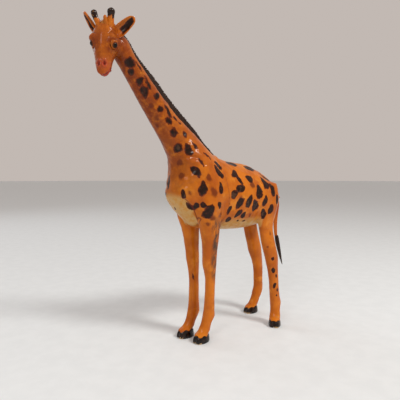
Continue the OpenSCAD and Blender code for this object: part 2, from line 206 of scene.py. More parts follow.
def largest(points, edges, tris):
    """The biggest connected part."""
    label = np.arange(len(points))
    while True:
        low = np.minimum(label[edges[:, 0]], label[edges[:, 1]])
        new = label.copy()
        np.minimum.at(new, edges[:, 0], low)
        np.minimum.at(new, edges[:, 1], low)
        new = new[new]
        if (new == label).all():
            break
        label = new
    keep = label == np.bincount(label).argmax()
    index = np.cumsum(keep) - 1
    return points[keep], index[edges[keep[edges[:, 0]]]], index[tris[keep[tris[:, 0]]]]


def joined_pairs(pairs, start):
    """The two ends of each edge listed, once each, and for each list the number of its edge's new point."""
    ends = np.sort(np.concatenate([np.stack(pair, 1) for pair in pairs]), 1)
    unique, index = np.unique(ends, axis=0, return_inverse=True)
    return unique.T, index.ravel().reshape(len(pairs), -1) + start


def cut(points, tris, value):
    """New edges where value (one number a point) passes through nothing, so that a panel can end there."""
    value = np.where(np.abs(value) < 1e-6, 1e-6, value)
    above = value[tris] > 0
    crossed = above.any(1) & ~above.all(1)
    kept, work, above = tris[~crossed], tris[crossed], above[crossed]
    alone = np.where(above.sum(1) == 1, above.argmax(1), (~above).argmax(1))
    a, b, c = (work[np.arange(len(work)), (alone + k) % 3] for k in range(3))
    (one, two), index = joined_pairs([(a, b), (a, c)], len(points))
    share = (value[one] / (value[one] - value[two]))[:, None]
    p, q = index
    tris = np.concatenate([kept, np.stack([a, p, q], 1), np.stack([p, b, c], 1), np.stack([p, c, q], 1)])
    return np.concatenate([points, points[one] * (1 - share) + points[two] * share]), tris


def halved(points, tris):
    """Every triangle split in four."""
    a, b, c = tris.T
    (one, two), (ab, bc, ca) = joined_pairs([(a, b), (b, c), (c, a)], len(points))
    tris = np.concatenate([np.stack(t, 1) for t in ((a, ab, ca), (ab, b, bc), (ca, bc, c), (ab, bc, ca))])
    return np.concatenate([points, (points[one] + points[two]) / 2]), tris


def part_of(points, tris, chosen):
    """The chosen triangles alone, with the row of each point they keep."""
    tris = tris[chosen]
    used, index = np.unique(tris, return_inverse=True)
    return points[used], index.reshape(-1, 3), used


# ---- pieces


CLEAR = -6.0            # depth of a point that is far outside every painted spot
ACROSS = Vector((1, 0, 0))


def piece(name, points, faces, material, body="statue", replaces=(), slot=None, smooth=True, **paint):
    """A mesh piece that takes a CAD node's place; paint holds one number a point for each named attribute."""
    mesh = bpy.data.meshes.new(name)
    rows = faces.tolist() if isinstance(faces, np.ndarray) else faces
    mesh.from_pydata((np.asarray(points) * MM).tolist(), [], rows)
    mesh.update()
    mesh.polygons.foreach_set("use_smooth", [smooth] * len(mesh.polygons))
    for key, values in paint.items():
        mesh.attributes.new(key, "FLOAT", "POINT").data.foreach_set("value", np.asarray(values, np.float32))
    obj = linked(name, mesh)
    mesh.materials.append(material)
    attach(obj, body)
    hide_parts(*replaces)
    return obj


def grid_faces(rows, columns, closed=True, start=0):
    """Quads of a grid of points, row after row, joined round each row if closed."""
    out = []
    for a in range(start, start + (rows - 1) * columns, columns):
        for j in range(columns if closed else columns - 1):
            k = (j + 1) % columns
            out.append([a + j, a + k, a + columns + k, a + columns + j])
    return out


def barrel_faces(rows, sides):
    """The same for rings of points, with a flat face over each end."""
    last = (rows - 1) * sides
    return grid_faces(rows, sides) + [list(range(sides))[::-1], list(range(last, last + sides))]


def tube(path, radii, sides=12):
    """Rings round a path, capped with a point at each end: points and faces. radii are (wide, deep) pairs."""
    points, last = [], len(path) - 1
    for i, p in enumerate(path):
        way = (path[min(i + 1, last)] - path[max(i - 1, 0)]).normalized()
        wide = (ACROSS - way * ACROSS.dot(way)).normalized()
        deep = way.cross(wide)
        points += [p + wide * math.cos(a) * radii[i][0] + deep * math.sin(a) * radii[i][1] for a in around(sides)]
    faces = grid_faces(len(path), sides)
    points += [path[0], path[-1]]
    first, final = len(points) - 2, len(points) - 1
    for j in range(sides):
        k = (j + 1) % sides
        faces += [[first, k, j], [final, last * sides + j, last * sides + k]]
    return points, faces


def subdivided(obj, levels=1):
    wheel = obj.modifiers.new("round", "SUBSURF")
    wheel.levels = wheel.render_levels = levels


def leather(name, node, points, faces, tone, cream=0.0, body="statue", **more):
    """A small leather piece in place of a CAD node, plain but for the paint that is given."""
    paint = {"spot": CLEAR, "blush": CLEAR, "tone": tone, "cream": cream, **more}
    paint = {key: np.full(len(points), value) for key, value in paint.items()}
    subdivided(piece(name, points, faces, HIDE, body, [node], "hide", **paint))


# ---- materials


class Look:
    """A Principled material put together from nodes. Places are object coordinates in metres."""

    def __init__(self, name, roughness=0.4, **fixed):
        self.mat = bpy.data.materials.new(name)
        self.mat.use_nodes = True
        self.tree = self.mat.node_tree
        self.bsdf = self.tree.nodes["Principled BSDF"]
        self.bsdf.inputs["Roughness"].default_value = roughness
        for key, value in fixed.items():
            self.bsdf.inputs[key.replace("_", " ")].default_value = value
        self.place = self.node("ShaderNodeTexCoord").outputs["Object"]
        self.bump = None

    def node(self, kind, **settings):
        made = self.tree.nodes.new(kind)
        for key, value in settings.items():
            setattr(made, key, value)
        return made

    def feed(self, socket, value):
        if isinstance(value, bpy.types.NodeSocket):
            self.tree.links.new(value, socket)
        elif value is not None:
            socket.default_value = (*value, 1) if isinstance(value, tuple) and len(value) == 3 else value

    def texture(self, kind, place=None, **numbers):
        made = self.node(kind)
        self.feed(made.inputs["Vector"], place or self.place)
        for key, number in numbers.items():
            made.inputs[key].default_value = number
        return made

    def stretched(self, scale):
        return self.texture("ShaderNodeMapping", Scale=scale).outputs["Vector"]

    def noise(self, scale, detail=3.0, rough=0.55, place=None, warp=0.0):
        made = self.texture("ShaderNodeTexNoise", place, Scale=scale, Detail=detail, Roughness=rough, Distortion=warp)
        return made.outputs["Fac"]

    def attr(self, name):
        return self.node("ShaderNodeAttribute", attribute_name=name).outputs["Fac"]

    def math(self, operation, a, b=None):
        made = self.node("ShaderNodeMath", operation=operation)
        self.feed(made.inputs[0], a)
        self.feed(made.inputs[1], b)
        return made.outputs[0]

    def times(self, a, b):
        return self.math("MULTIPLY", a, b)

    def stirred(self, value, noise, reach):
        """A value with a noise of 0 to 1 added, drawn out to a reach and centred on nothing."""
        return self.math("ADD", value, self.times(self.math("SUBTRACT", noise, 0.5), reach))

    def step(self, value, low, high, top=1.0):
        made = self.node("ShaderNodeMapRange", interpolation_type="SMOOTHSTEP")
        self.feed(made.inputs["Value"], value)
        for key, number in (("From Min", low), ("From Max", high), ("To Max", top)):
            made.inputs[key].default_value = number
        return made.outputs["Result"]

    def mix(self, factor, a, b):
        made = self.node("ShaderNodeMix", data_type="RGBA")
        self.feed(made.inputs[0], factor)
        self.feed(made.inputs[6], a)
        self.feed(made.inputs[7], b)
        return made.outputs[2]

    def bumped(self, height, distance, strength, under=None):
        made = self.node("ShaderNodeBump")
        made.inputs["Strength"].default_value = strength
        made.inputs["Distance"].default_value = distance * MM
        self.feed(made.inputs["Height"], height)
        self.feed(made.inputs["Normal"], under)
        return made.outputs["Normal"]

    def raise_by(self, height, distance, strength):
        """Adds a bump of height times distance (mm)."""
        self.bump = self.bumped(height, distance, strength, self.bump)

    def done(self, colour, roughness=None):
        self.feed(self.bsdf.inputs["Base Color"], colour)
        self.feed(self.bsdf.inputs["Roughness"], roughness)
        self.feed(self.bsdf.inputs["Normal"], self.bump)
        return self.mat


ORANGE, AMBER, RUST = (0.57, 0.155, 0.008), (0.68, 0.235, 0.018), (0.42, 0.092, 0.005)
TAN, CREAM, STRAW = (0.20, 0.034, 0.004), (0.56, 0.33, 0.115), (0.55, 0.235, 0.035)
INK, MAROON, SOOT = (0.017, 0.006, 0.003), (0.115, 0.017, 0.004), (0.085, 0.040, 0.022)
ROSE, BLOOD = (0.40, 0.055, 0.030), (0.11, 0.008, 0.005)


def hide_look(name, coat):
    """Lacquered leather, painted by the attributes of the piece that wears it."""
    m = Look(name, Coat_Weight=coat, Coat_Roughness=0.07, Coat_IOR=1.4, Specular_IOR_Level=0.05)
    wide, mid, fine = m.noise(45, 3), m.noise(190, 4, 0.6), m.noise(900, 3, 0.6)
    colour = m.mix(m.step(wide, 0.35, 0.66), RUST, ORANGE)
    colour = m.mix(m.step(m.noise(75, 4, 0.6), 0.52, 0.74, 0.7), colour, AMBER)
    colour = m.mix(m.times(m.attr("tone"), m.step(mid, 0.15, 0.6)), colour, TAN)
    # The cream attribute: pale paint under the body, and painted highlights on the forehead and the upper lip.
    pale = m.mix(m.step(mid, 0.4, 0.7), CREAM, STRAW)
    colour = m.mix(m.step(m.stirred(m.attr("cream"), mid, 0.5), 0.25, 0.75), colour, pale)
    streak = m.noise(260, 4, 0.65, m.stretched((1, 1, 0.35)))
    colour = m.mix(m.times(m.attr("smear"), m.step(streak, 0.36, 0.62)), colour, SOOT)
    broad, sharp = m.noise(170, 2, 0.5), m.noise(650, 2, 0.5)
    blush, spot = (m.stirred(m.stirred(m.attr(key), broad, 2.8), sharp, 0.6) for key in ("blush", "spot"))
    colour = m.mix(m.step(blush, -0.6, 0.9, 0.8), colour, MAROON)
    colour = m.mix(m.step(spot, -0.22, 0.12, 0.97), colour, MAROON)
    core = m.mix(m.step(m.noise(330, 3, 0.6), 0.5, 0.75, 0.5), INK, MAROON)
    core = m.mix(m.step(m.noise(140, 2), 0.6, 0.72, 0.7), core, SOOT)
    colour = m.mix(m.step(spot, 0.0, 0.7), colour, core)
    # The rose attribute: red paint on the lips and nostrils, and a pink part of the upper lip's painted highlight.
    colour = m.mix(m.times(m.attr("rose"), m.step(fine, 0.2, 0.5)), colour, ROSE)
    # The line attribute: dark paint at the chest seam, mouth, nostrils and the lids' inner rims, with painted shade
    # along the shoulder hide's lapped edge and in the lid creases.
    colour = m.mix(m.attr("line"), colour, BLOOD)
    scuffs = m.noise(300, 5, 0.7, m.stretched((1, 0.5, 1.6)), warp=1.0)
    colour = m.mix(m.step(scuffs, 0.68, 0.76, 0.4), colour, CREAM)
    grain = m.texture("ShaderNodeTexVoronoi", Scale=1500).outputs["Distance"]
    for height, distance, strength in ((wide, 1.2, 0.5), (mid, 0.5, 0.5), (grain, 0.10, 0.55), (fine, 0.10, 0.4)):
        m.raise_by(height, distance, strength)
    m.feed(m.bsdf.inputs["Coat Normal"], m.bumped(mid, 0.8, 0.45))
    return m.done(colour, m.math("ADD", m.times(mid, 0.28), 0.22))


def hoof_look():
    """Black gloss paint, chipped to the wood low down."""
    m = Look("black_hoof", Coat_Weight=0.45, Coat_Roughness=0.06, Specular_IOR_Level=0.1)
    broad, fine = m.noise(240, 4, 0.6), m.noise(1300, 3)
    colour = m.mix(m.step(broad, 0.45, 0.7), (0.006, 0.003, 0.002), (0.035, 0.013, 0.007))
    colour = m.mix(m.step(m.stirred(m.attr("worn"), broad, 1.6), 0.45, 0.6), colour, (0.50, 0.33, 0.17))
    m.raise_by(broad, 0.5, 0.6)
    m.raise_by(fine, 0.08, 0.5)
    return m.done(colour, m.step(fine, 0.2, 0.8, 0.5))


def horn_look():
    """Orange paint, dipped in black above, with pale straw streaks in the black that are painted highlights."""
    m = Look("painted_horn", Coat_Weight=0.4, Coat_Roughness=0.08, Specular_IOR_Level=0.1)
    streak = m.noise(420, 4, 0.65, m.stretched((1, 1, 0.4)), warp=0.5)
    mid, dip = m.noise(260, 3), m.attr("dip")
    colour = m.mix(m.step(mid, 0.3, 0.6), RUST, ORANGE)
    colour = m.mix(m.step(mid, 0.58, 0.75, 0.7), colour, AMBER)
    colour = m.mix(m.step(m.stirred(dip, streak, 2.4), 0.42, 0.58), colour, INK)
    # Painted highlights: pale straw streaks in the black tips.
    colour = m.mix(m.times(dip, m.step(m.noise(520, 3), 0.6, 0.68)), colour, STRAW)
    m.raise_by(streak, 0.5, 0.6)
    return m.done(colour, m.step(mid, 0.1, 0.9, 0.5))


def eye_look():
    """Dark glass with a flecked iris and a black pupil."""
    m = Look("glass_eye", 0.12, Coat_Weight=0.3, Coat_Roughness=0.02, Coat_IOR=1.3, Specular_IOR_Level=0.1)
    fleck = m.noise(1500, 3, 0.6)
    iris = m.mix(m.step(fleck, 0.35, 0.7), (0.030, 0.010, 0.004), (0.10, 0.035, 0.012))
    colour = m.mix(m.step(m.attr("gaze"), 0.60, 0.70), (0.030, 0.012, 0.006), iris)
    colour = m.mix(m.step(m.attr("gaze"), 0.86, 0.90), colour, (0.004, 0.003, 0.003))
    m.raise_by(fleck, 0.02, 0.2)
    return m.done(colour)


def hair_look(name, dark, light, along):
    """Coarse dark fibre with streaks that run along the strands."""
    m = Look(name, Specular_IOR_Level=0.2, Sheen_Weight=0.05, Sheen_Roughness=0.4)
    strand = m.noise(900, 4, 0.7, m.stretched(along))
    broad = m.noise(160, 3)
    colour = m.mix(m.step(strand, 0.38, 0.7), dark, light)
    colour = m.mix(m.step(broad, 0.5, 0.8, 0.5), colour, dark)
    m.raise_by(strand, 0.3, 0.8)
    return m.done(colour, m.step(strand, -0.6, 1.2, 0.8))


def paper_look():
    """Pressed paper in slanting turns."""
    m = Look("wound_paper", 0.85)
    turns = m.texture("ShaderNodeTexWave", Scale=90, Distortion=3)
    turns.bands_direction = "DIAGONAL"
    fibre = m.noise(1400, 4, 0.7)
    colour = m.mix(m.step(fibre, 0.3, 0.7), (0.42, 0.31, 0.19), (0.56, 0.44, 0.29))
    colour = m.mix(m.step(turns.outputs["Fac"], 0.55, 0.9, 0.5), colour, (0.30, 0.21, 0.12))
    m.raise_by(turns.outputs["Fac"], 0.4, 0.6)
    m.raise_by(fibre, 0.12, 0.5)
    return m.done(colour)


def steel_look():
    """Bright wire, drawn lengthwise."""
    m = Look("drawn_steel", 0.35, Metallic=1.0)
    drawn = m.noise(2200, 3, 0.6, m.stretched((1, 1, 0.1)))
    colour = m.mix(m.step(drawn, 0.3, 0.7), (0.44, 0.44, 0.45), (0.62, 0.61, 0.60))
    m.raise_by(drawn, 0.03, 0.4)
    return m.done(colour, m.step(drawn, -0.5, 1.4, 0.7))


HIDE, PALE_HIDE = hide_look("painted_hide", 0.42), hide_look("pale_hide", 0.35)
HOOF, HORN, EYE = hoof_look(), horn_look(), eye_look()
MANE = hair_look("mane_fibre", (0.012, 0.005, 0.003), (0.045, 0.017, 0.008), (0.5, 1, 1))
TUFT = hair_look("tuft_fibre", (0.022, 0.010, 0.007), (0.10, 0.050, 0.030), (1, 1, 0.12))
PAPER, STEEL = paper_look(), steel_look()

# ---- paint

# Painted spots on the left side: level place, height, half length, half width, and the slope of the
# length from forward towards up. The right side wears the same ones moved about a little.
CRISP = [
    # back and flank
    (6, 178, 7, 3.6, 10), (-17, 173.5, 6.5, 2.8, 14), (-22, 173, 6, 1.3, 16), (11.5, 167, 3.7, 3.3, 40),
    (8, 161.5, 4.6, 1.9, 60), (-6.5, 162.5, 4.7, 2.8, 30), (-30, 158, 7, 3, 72), (-36, 163.5, 7, 1.5, 40),
    (-39.5, 150.5, 6.4, 2.5, 86), (8.5, 152.3, 5.2, 2.8, 170), (16.5, 147.5, 4.7, 2.7, 125),
    (-18, 149, 6.6, 3.4, 86), (9.5, 138.4, 6.2, 2.8, 130), (-3.5, 140, 6.8, 2.6, 115),
    (-13, 135, 6, 3.6, 75), (-27, 139, 5, 2.4, 112), (-36, 130, 5.5, 2.4, 112), (-28, 125, 4.6, 2.4, 82),
    (21.5, 132, 4.8, 1.9, 112), (8.5, 127, 5, 2.2, 125), (1, 125.5, 3.4, 2.2, 112), (18.5, 121.5, 3, 2.2, 160),
    (5.5, 119.5, 1.3, 1, 0), (-3, 118.8, 1.8, 0.8, 160), (-46.5, 139.5, 4.6, 1.8, 95),
    # shoulder
    (62, 170, 5.4, 2.5, 42), (34, 176.5, 5.5, 1.9, 40), (35.5, 169.5, 7.2, 2.2, 55), (35, 155.4, 5, 1.7, 80),
    (55.5, 154, 6.8, 2.9, 100), (71.5, 149, 3.8, 1.6, 80), (50, 132, 7, 3.4, 125), (54.5, 138, 2.8, 2, 20),
    (59.5, 137.5, 3, 2.1, 80), (37.5, 137, 3.1, 2, 100),
    # hind leg
    (-39.7, 75, 2, 1.3, 80), (-42, 62, 2.6, 1.7, 80), (-46, 55.5, 1.9, 0.9, 80), (-44, 45, 2.5, 1.2, 115),
    (-47.7, 40, 2, 0.8, 90), (-46.4, 33.6, 0.9, 0.8, 0),
]
SOFT = [
    # neck, from the throat down
    (121.7, 262, 4.5, 3.8, 30), (120, 254.3, 2.9, 2.5, 60), (112.3, 248.2, 3.6, 2.4, 125),
    (107.3, 238.6, 5.2, 3.2, 72), (104, 245, 6.4, 1.8, 58), (113.2, 260, 3.6, 1.1, 60),
    (96, 236.2, 3.6, 2.6, 128), (93.2, 225.3, 3, 2.2, 160), (84.7, 224.8, 5, 1.7, 62), (84.3, 215.3, 3.6, 2.3, 50),
    (76.2, 217.4, 4, 1.2, 52), (80, 206.3, 3.9, 3.1, 60), (68.3, 203, 4.6, 1.7, 76), (75, 191.8, 4.7, 3.1, 110),
    (66, 189.8, 5.6, 2.8, 74), (60, 194.7, 5, 1.3, 58), (47, 184.7, 4, 1.3, 48),
    (56, 178.7, 3.6, 1.7, 60), (66, 138, 5, 1.5, 38),
]
BLUSH = [
    (94.7, 217, 2.7, 2, 30), (101, 228, 2.4, 2, 0), (93, 211, 2.4, 1.8, 90), (119, 246, 1.6, 1.2, 0),
    (86, 196, 3, 2.4, 60), (79, 182, 2.4, 2, 0), (71.7, 177.7, 2.8, 2.5, 0), (71.3, 165.6, 3.2, 2.9, 0),
    (49.5, 164.6, 3.2, 2.2, 90), (44, 150, 4.6, 3.2, 60), (66.7, 149.6, 2.4, 1.7, 60), (35.5, 128, 3, 2.6, 0),
    (45.6, 125, 3, 2.2, 30), (48.7, 119.7, 2.2, 1.7, 0), (-9.3, 156.2, 4.2, 2.6, 60), (-8.3, 124.8, 2.6, 1.2, 90),
    (-34, 88.6, 1.2, 0.8, 0), (-38, 103, 1.6, 0.9, 90), (8, 143.5, 2.6, 1.6, 20),
]
# Spots whose place needs all three numbers: sideways, level, height, then as above
CHEST_SPOTS = [(-6, 75, 160, 6.2, 2.0, 75), (-9, 73, 147.5, 2.6, 1.3, 10), (-2, 70, 133, 2.0, 1.0, 30)]
CRISP_GROWTH, SOFT_GROWTH = (1.14, 1.42), (1.12, 1.2)   # along and across, over the listed half sizes
KNEE_MARK = (-9, 43, 62.4, 2.6, 0.6, 75)

# Seams in the side view: level place and height
SHOULDER_SEAM = [(25, 196), (26.5, 183), (27.5, 172), (25, 152), (22.6, 134), (23.6, 125), (30, 118.5), (35, 114),
                 (36, 100)]
PANEL_EDGE = [(-64, 100), (-48, 112), (-30, 119), (-10, 121), (12, 121), (24, 119), (34, 111), (44, 109.5),
              (49, 114), (55, 126), (63, 137), (71, 145.5), (80, 149)]
LEG_TOP, SOLE_EDGE = 108, 7.4       # heights of the leg hides' two ends
# Slanting planes where the neck and the head begin: level place, height, and slant from level
NECK_FOOT, HEAD_BACK = (65, 194.5, 46), (124.5, 270.5, 37)
JAW_BACK = 139.5                    # level place ahead of which everything above the neck is head

BODY_NODES = ["torso_core", "neck_core", "torso_hide", "belly_panel", "shoulder_hide", "chest_panel", "neck_hide",
              "head_core", "head_hide"]
LEGS = ["front_left", "front_right", "hind_left", "hind_right"]
BODY_NODES += [f"{leg}_{part}" for leg in LEGS for part in ("leg_core", "leg_hide", "hoof")]

# Shapes pressed into the skin: sideways, level, height, three reaches, and how far it swells (sinks if
# negative). Those off the middle are on both sides.
SWELLS = [
    (23, 47, 150, 12, 15, 24, 1.6), (12, 69, 142, 10, 12, 13, 3.2), (8, 76, 172, 10, 9, 12, -2.6),
    (16, 60, 180, 9, 8, 8, 0.9),
    (28, -41, 111, 13, 16, 18, -4.6), (24, -20, 128, 8, 6, 14, -1.1), (25, -40, 136, 12, 14, 16, 0.4),
    (14, 41, 79, 7, 7, 7, 0.7), (20, -44, 71, 7, 7, 9, 0.5), (6, 26, 181, 8, 6, 5, 0.7),
    (11, 30, 24, 6, 5, 4, 1.0), (21, -57, 25, 6, 5, 4, 0.9), (24, 20, 150, 10, 9, 26, -0.6),
    (0, 122, 281, 9, 9, 9, 3.2), (22, -56, 78, 8, 8, 8, 1.2), (21, -55, 20, 9, 9, 7, 1.1),
    (11, 44, 19, 8, 9, 6, 0.6),
]
# Folds in the side view: level place and height along the fold, width, and depth (raised if negative)
FOLDS = [
    ([(64, 183), (58, 182), (53, 176)], 1.6, 0.9), ([(67, 179), (60, 178.5), (56, 172)], 2.2, -0.6),
    ([(74, 158), (66, 163), (59, 170)], 2.0, -0.8), ([(72, 154), (64, 159), (57, 166)], 1.5, 0.5),
    ([(-17, 136), (-13, 127), (-10, 118), (-11, 111)], 1.8, 0.9), ([(-21, 134), (-17, 125), (-14, 114)], 2.4, -0.6),
    ([(70, 188), (62, 189)], 1.4, 0.35), ([(36, 126), (33, 119), (36, 112)], 1.6, 0.5),
    ([(-34, 164), (-44, 150), (-47, 138)], 2.2, 0.3),
]
RUMP_START, RUMP_TUCK = -54, 0.34           # where the last stretch of the rump starts, and its shortening
HAUNCH = ((21, -47, 155), (13, 16, 18))     # corner of the rump that is rounded off, and how far round it
LEG_SHIFT = (0.3, 0.4)                      # how far the legs stand from their CAD places: sideways, level
MUZZLE_TAPER = (0.23, 0.10)                 # how much narrower and flatter the muzzle gets towards its end
SLACK, LEG_SLACK = 0.45, 0.35               # unevenness of the leather in mm, and its share on legs and head

# Whole masses moved: the axis, then the place, its reaches, the distance, and whether both sides move
NUDGES = [
    (2, (0, -22, 178), (18, 28, 16), 3.0, False), (2, (0, 0, 106), (16, 24, 14), -0.8, False),
    (1, (-4, 80, 140), (16, 12, 13), -1.8, False), (0, (-20, 66, 142), (10, 16, 16), -2.4, False),
    (1, (21, -56, 115), (16, 20, 20), -6.5, True), (2, (0, -68, 163), (16, 9, 10), -3.0, False),
]


def levels_of(p):
    """Sideways place, level place and height."""
    return p[:, 0], MID_Y - p[:, 1], p[:, 2]


def seam_side(p):
    """Above nothing ahead of the shoulder seam."""
    _, f, z = levels_of(p)
    return f - soft_line(z, [(height, place) for place, height in SHOULDER_SEAM], 3)


def panel_side(p):
    """Below nothing on the pale panels under the body, which stop where the legs begin."""
    x, f, z = levels_of(p)
    legs = smoothstep(24, 34, f) + smoothstep(-20, -32, f)
    limit = 40 * (1 - legs) + (5.5 + np.maximum(z - 110, 0)) * legs
    return np.maximum(z - soft_line(f, PANEL_EDGE, 3), np.abs(x) - limit)


def tilted(p, plane):
    """Height over a slanting plane."""
    _, f, z = levels_of(p)
    a = math.radians(plane[2])
    return (f - plane[0]) * math.sin(a) + (z - plane[1]) * math.cos(a)


def neck_side(p):
    return tilted(p, NECK_FOOT)


def head_side(p):
    return np.maximum(tilted(p, HEAD_BACK), MID_Y - p[:, 1] - JAW_BACK)


def leg_side(p):
    return LEG_TOP - p[:, 2]


def sole_side(p):
    """Above nothing over the ragged lower edge of the leg hides."""
    wave = 0.7 * np.sin(p[:, 0] * 1.1 + 1) + 0.6 * np.sin(p[:, 1] * 0.9)
    return p[:, 2] - SOLE_EDGE - wave


def shape_body(points, tris):
    """Muscles, folds, moved masses, a tapered muzzle, and the unevenness of leather."""
    normal = normals_of(points, tris)
    _, f, z = level = levels_of(points)
    move = np.zeros(len(points))
    for px, pf, pz, rx, rf, rz, height in SWELLS:
        move += height * mound(level, (px, pf, pz), (rx, rf, rz), px > 0)
    outward = smoothstep(0.15, 0.5, np.abs(normal[:, 0]))
    for path, width, depth in FOLDS:
        move -= depth * outward * bell(path_gap(np.stack([f, z], 1), path) / width)
    moved = points + normal * move[:, None]
    for axis, place, reach, distance, both in NUDGES:
        moved[:, axis] += distance * mound(level, place, reach, both)
    moved[:, :2] -= (smoothstep(10, 30, z) * smoothstep(112, 90, z))[:, None] * LEG_SHIFT
    moved[:, 1] -= RUMP_TUCK * np.maximum(0, RUMP_START - f) * smoothstep(80, 112, z)
    q = in_head(moved)
    q[:, 1] *= 1 - MUZZLE_TAPER[0] * smoothstep(20, 38, q[:, 0])
    q[:, 2] *= 1 - MUZZLE_TAPER[1] * smoothstep(24, 38, q[:, 0])
    face = head_side(points) > 4
    out = np.array(HEAD)
    moved[face] = (q @ out[:3, :3].T + out[:3, 3])[face]
    slack = np.array([noise.noise(Vector(p) * 0.11) + 0.5 * noise.noise(Vector(p) * 0.27) for p in points])
    trunk = smoothstep(105, 125, z) * (1 - smoothstep(235, 260, z))
    return moved + normal * (SLACK * slack * (LEG_SLACK + (1 - LEG_SLACK) * trunk))[:, None]


def in_head(points):
    """Points in the head's own frame: along the face, to its left, and up from the face."""
    back = np.array(HEAD.inverted())
    return points @ back[:3, :3].T + back[:3, 3]


MOUTH_START, MOUTH_LINE = 26, [(26, -2.3), (31, -2.8), (35, -3.0), (40, -3.2)]   # along the face, and height
LID_CREASE = [(7, 6, 9.5), (4.6, 8.4, 7.4), (5, 11, 4.5)]
NOSTRIL = (30.6, 2.3, 1.6)
LID_AT = (9.4, 8.6, 5.8)
RIGHT_BACK = -2.4       # how much further up the face the right eye's brow, lid and cheek are
# Shapes of the head on both sides: swelling, place, reaches, and whether it follows the eye
HEAD_SWELLS = [
    (1.3, (10, 8.3, 5.5), (4.5, 3.6, 4.2), True), (1.2, LID_AT, (2.6, 2.6, 2.6), True),
    (-1.3, (21, 8, 1), (5, 4, 5), True), (-0.9, (2, 10, 1), (5, 5, 8), False),
    (0.5, (16, 0, 8), (12, 2.6, 5), False), (0.8, (17, 6, -9), (7, 4, 4), False),
]


def halves(q):
    """Places in the head's frame, with both sides laid on the left."""
    return q[:, 0], np.abs(q[:, 1]), q[:, 2]


def crease_gap(q):
    return path_gap(np.stack(halves(q), 1), LID_CREASE)


def eye_gap(q):
    """Distance from the middle of the eye on the same side."""
    left, right = (np.array(place) * (1, side, 1) for side, place in EYES.values())
    return np.linalg.norm(q - np.where(q[:, 1:2] > 0, left, right), axis=1)


def lip_height(q):
    """Height above the mouth's line, and how far in front of the mouth's corner (nothing behind it)."""
    line = np.interp(q[:, 0], *zip(*MOUTH_LINE))
    return q[:, 2] - line, smoothstep(MOUTH_START, MOUTH_START + 2.5, q[:, 0])


def nostril_gap(q, stretch):
    return np.linalg.norm((np.stack(halves(q), 1) - NOSTRIL) / stretch, axis=1)


def shape_head(points, tris):
    """Brows, sockets, cheeks, nostrils and lips, in the head's own frame."""
    normal = normals_of(points, tris)
    q = in_head(points)
    x, y, z = halves(q)
    back = np.where(q[:, 1] > 0, 0, RIGHT_BACK)
    move = 0.9 * bell((eye_gap(q) - 3.6) / 2.0)
    for swelling, place, reach, follows in HEAD_SWELLS:
        move += swelling * mound((x - back if follows else x, y, z), place, reach)
    above, open_ = lip_height(q)
    move -= open_ * (0.9 * bell(above / 0.6) - 0.5 * bell((above - 1.4) / 0.9) + 0.45 * smoothstep(0, -0.8, above))
    move += 0.6 * bell((nostril_gap(q, (1.9, 1.2, 2.4)) - 1.45) / 0.5)
    move -= 1.5 * bell(nostril_gap(q, (1.6, 0.95, 2)) / 0.85) + 0.8 * bell(crease_gap(q) / 0.7)
    return points + normal * move[:, None]


FAR_OUT = 80        # sideways place that rays towards the spots start from


def spot_map(points, normal, tree, spots, growth, steepness=1.0, seed=3):
    """How deep each point lies inside the painted spots, in mm."""
    depth = np.full(len(points), CLEAR)
    dice = random.Random(seed)
    for start, way, (length, width, slope) in spots:
        length, width = length * growth[0], width * growth[1]
        hit = tree.ray_cast(start, way) if way else tree.find_nearest(start)
        if hit[0] is None:
            continue
        n = hit[1]
        a = math.radians(slope)
        along = Vector((0, -math.cos(a), math.sin(a)))
        along = (along - n * along.dot(n)).normalized()
        d = points - np.array(hit[0])
        u, w, h = (d @ np.array(axis) for axis in (along, n.cross(along), n))
        taper = 1 - dice.uniform(-0.45, 0.45) * np.clip(u / length, -1, 1)
        bend = dice.uniform(-0.16, 0.16) * (u * u) / length
        r = np.sqrt((u / length) ** 2 + ((w - bend) / (width * taper)) ** 2)
        near = (np.abs(h) < 7) & (normal @ np.array(n) > 0)
        depth = np.maximum(depth, np.where(near, (1 - r) * min(width, 3) * steepness, CLEAR))
    return depth


def side_spots(spots, shift, seed):
    """Rays that find the spots listed for the left side, then the same moved about a little on the right."""
    dice = random.Random(seed)
    out = [(at(FAR_OUT, f, z), Vector((-1, 0, 0)), size) for f, z, *size in spots]
    for f, z, length, width, slope in spots:
        f, z = f + dice.uniform(-shift, shift), z + dice.uniform(-shift, shift)
        out.append((at(-FAR_OUT, f, z), Vector((1, 0, 0)), (length, width, slope + dice.uniform(-25, 25))))
    return out


